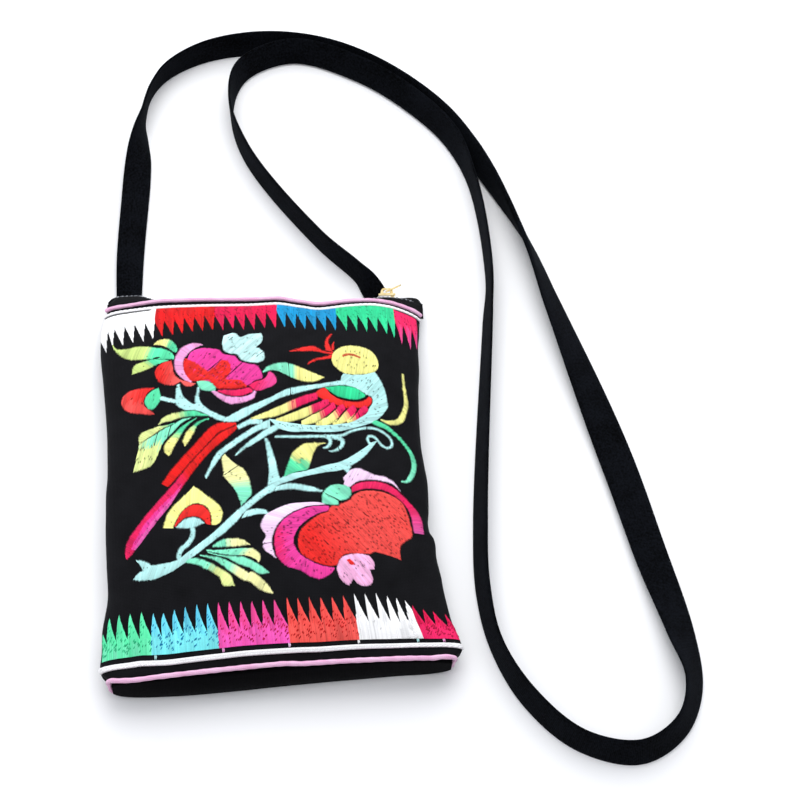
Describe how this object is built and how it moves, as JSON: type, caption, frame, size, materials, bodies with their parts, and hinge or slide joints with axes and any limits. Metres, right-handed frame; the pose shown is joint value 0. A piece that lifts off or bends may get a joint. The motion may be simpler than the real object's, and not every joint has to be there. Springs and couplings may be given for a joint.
{
  "type": "embroidered crossbody bag",
  "caption": "Small flat black cotton pouch with a bird and peony embroidered front, sawtooth bands, piped edges, a zipped mouth and a long soft shoulder strap, lying on its back.",
  "frame": {"origin": "middle of the pouch, strap left out, on the flat of its back where it lies on the floor", "axes": "+Z out of the embroidered front, +Y towards the zip, +X to the right seen from the front"},
  "size_m": [0.2743, 0.417, 0.0306],
  "materials": {
    "black_cotton": "matt woven cotton",
    "strap_webbing": "soft folded cloth band",
    "white_braid": "woven braid",
    "pink_piping": "satin piping",
    "zip_tape": "woven tape",
    "zip_teeth": "bright",
    "gilt_metal": "polished"
  },
  "bodies": {
    "bag": {"front_panel": "black_cotton", "back_panel": "black_cotton", "bottom_panel": "black_cotton", "braid_top_white": "white_braid", "braid_bottom_white": "white_braid", "piping_top_pink": "pink_piping", "piping_bottom_pink": "pink_piping", "zip_tape_front": "zip_tape", "zip_tape_back": "zip_tape", "zip_teeth_front": "zip_teeth", "zip_teeth_back": "zip_teeth", "zip_slider": "gilt_metal", "strap": "strap_webbing"},
    "pull": {"zip_pull": "gilt_metal"}
  },
  "joints": [
    {"name": "pull_hinge", "type": "hinge", "parent": "bag", "child": "pull", "pos_m": [0.06059, 0.10164, 0.00822], "axis": [0.0034, -0.4695, 0.8829], "range_deg": [-22, 98]}
  ]
}
